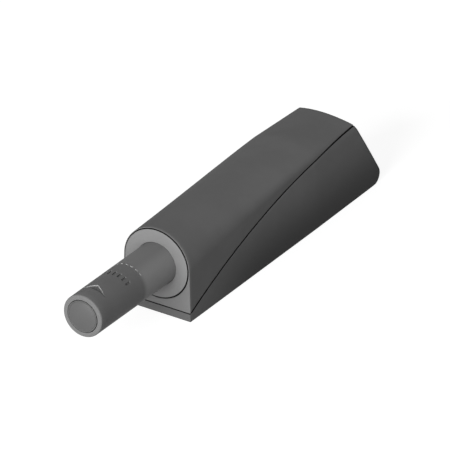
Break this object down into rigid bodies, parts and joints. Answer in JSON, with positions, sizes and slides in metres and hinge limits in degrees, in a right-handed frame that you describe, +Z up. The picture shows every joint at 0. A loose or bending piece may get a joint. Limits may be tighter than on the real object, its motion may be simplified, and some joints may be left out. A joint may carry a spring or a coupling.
{
  "type": "touch latch",
  "caption": "Surface-mounted push-to-open touch latch for a door: streamlined dark housing in two shells with a spring-loaded round pin and a magnet in its tip.",
  "frame": {"origin": "in the mounting face, midway between the two screw holes", "axes": "+Z up out of the mounting face, +Y from the pin towards the tail of the housing (along the pin's axis), +X across the housing, to the right seen from the pin's end"},
  "size_m": [0.0106, 0.0629, 0.0122],
  "materials": {
    "housing_plastic": "fine-grained matt anthracite",
    "cartridge_plastic": "smooth satin anthracite",
    "pin_plastic": "smooth satin anthracite",
    "track_plastic": "natural acetal, slightly glossy",
    "steel": "zinc-plated, satin",
    "spring_steel": "drawn wire, oiled",
    "magnet": "dark nickel, ground face",
    "rubber": "soft matt elastomer"
  },
  "bodies": {
    "housing": {"base_shell": "housing_plastic", "cover_shell": "housing_plastic", "front_collar": "cartridge_plastic", "cartridge_barrel": "cartridge_plastic", "rear_plug": "cartridge_plastic", "plug_pin": "steel", "cam_rod": "track_plastic"},
    "carriage": {"carriage": "track_plastic", "carriage_spindle": "steel", "stop_bumper": "rubber", "spring_seat": "steel", "ejector_spring": "spring_steel", "retaining_ring": "spring_steel"},
    "follower": {"follower_ring": "track_plastic", "follower_peg": "steel"},
    "detent": {"detent_washer": "track_plastic"},
    "pin": {"pin_tube": "pin_plastic", "threaded_insert": "steel", "tip_magnet": "magnet", "magnet_cup": "steel"}
  },
  "joints": [
    {"name": "plunger_slide", "type": "slide", "parent": "housing", "child": "carriage", "axis": [0, 1, 0], "range_m": [0, 0.0136], "stiffness_N_per_m": 250, "springref_m": -0.012, "deforming": ["ejector_spring"]},
    {"name": "follower_turn", "type": "hinge", "parent": "carriage", "child": "follower", "pos_m": [0, -0.0015, 0.00716], "axis": [0, 1, 0], "range_deg": [0, 95]},
    {"name": "depth_adjust", "type": "slide", "parent": "carriage", "child": "detent", "axis": [0, -1, 0], "range_m": [0, 0.004]},
    {"name": "pin_turn", "type": "hinge", "parent": "detent", "child": "pin", "pos_m": [0, -0.0155, 0.00716], "axis": [0, -1, 0], "range_deg": [0, 720]}
  ],
  "couplings": [
    {"joint": "follower_turn", "follows": "plunger_slide", "rad_per_m": 120.83},
    {"joint": "pin_turn", "follows": "depth_adjust", "rad_per_m": 3141.6}
  ]
}
